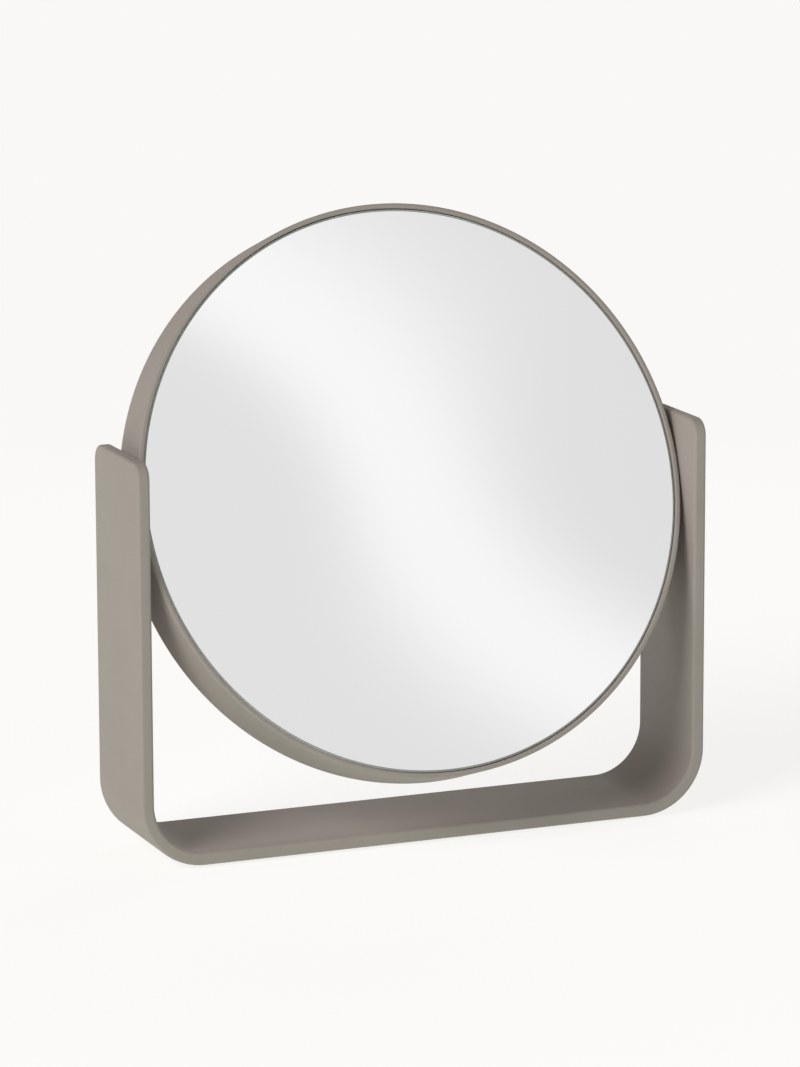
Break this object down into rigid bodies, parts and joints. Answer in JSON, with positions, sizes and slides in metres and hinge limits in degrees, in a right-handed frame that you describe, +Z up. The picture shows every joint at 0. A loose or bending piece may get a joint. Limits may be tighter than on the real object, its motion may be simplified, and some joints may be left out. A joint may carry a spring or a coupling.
{
  "type": "two-sided table mirror",
  "caption": "Round two-sided table mirror in a coated band that turns between the arms of a U-shaped stand bent from a flat bar.",
  "frame": {"origin": "on the table, under the middle of the stand and of the head", "axes": "+Z up, +X to the viewer's right along the pivot axis, +Y away from the viewer"},
  "size_m": [0.23, 0.0924, 0.2381],
  "materials": {
    "stand_coating": "matte",
    "head_coating": "matte",
    "plain_mirror": "polished",
    "enlarging_mirror": "polished",
    "pad_rubber": "matte",
    "seat_rubber": "matte",
    "foam": "matte",
    "core_plastic": "matte",
    "plated_steel": "satin",
    "nylon": "matte",
    "acetal": "satin"
  },
  "bodies": {
    "stand": {"stand_strap": "stand_coating", "base_pad": "pad_rubber", "pivot_screw_left": "plated_steel", "spacer_washer_left": "nylon", "inner_washer_left": "plated_steel", "spring_washers_left": "plated_steel", "pivot_screw_right": "plated_steel", "spacer_washer_right": "nylon", "inner_washer_right": "plated_steel", "spring_washers_right": "plated_steel"},
    "mirror_head": {"head_ring": "head_coating", "front_glass": "plain_mirror", "front_foam": "foam", "core_front": "core_plastic", "core_rear": "core_plastic", "core_screws": "plated_steel", "rear_seat_ring": "seat_rubber", "rear_glass": "enlarging_mirror", "pivot_bush_left": "acetal", "pivot_bush_right": "acetal"}
  },
  "joints": [
    {"name": "head_tilt", "type": "hinge", "parent": "stand", "child": "mirror_head", "pos_m": [0, 0, 0.13096], "axis": [1, 0, 0], "continuous": true}
  ]
}
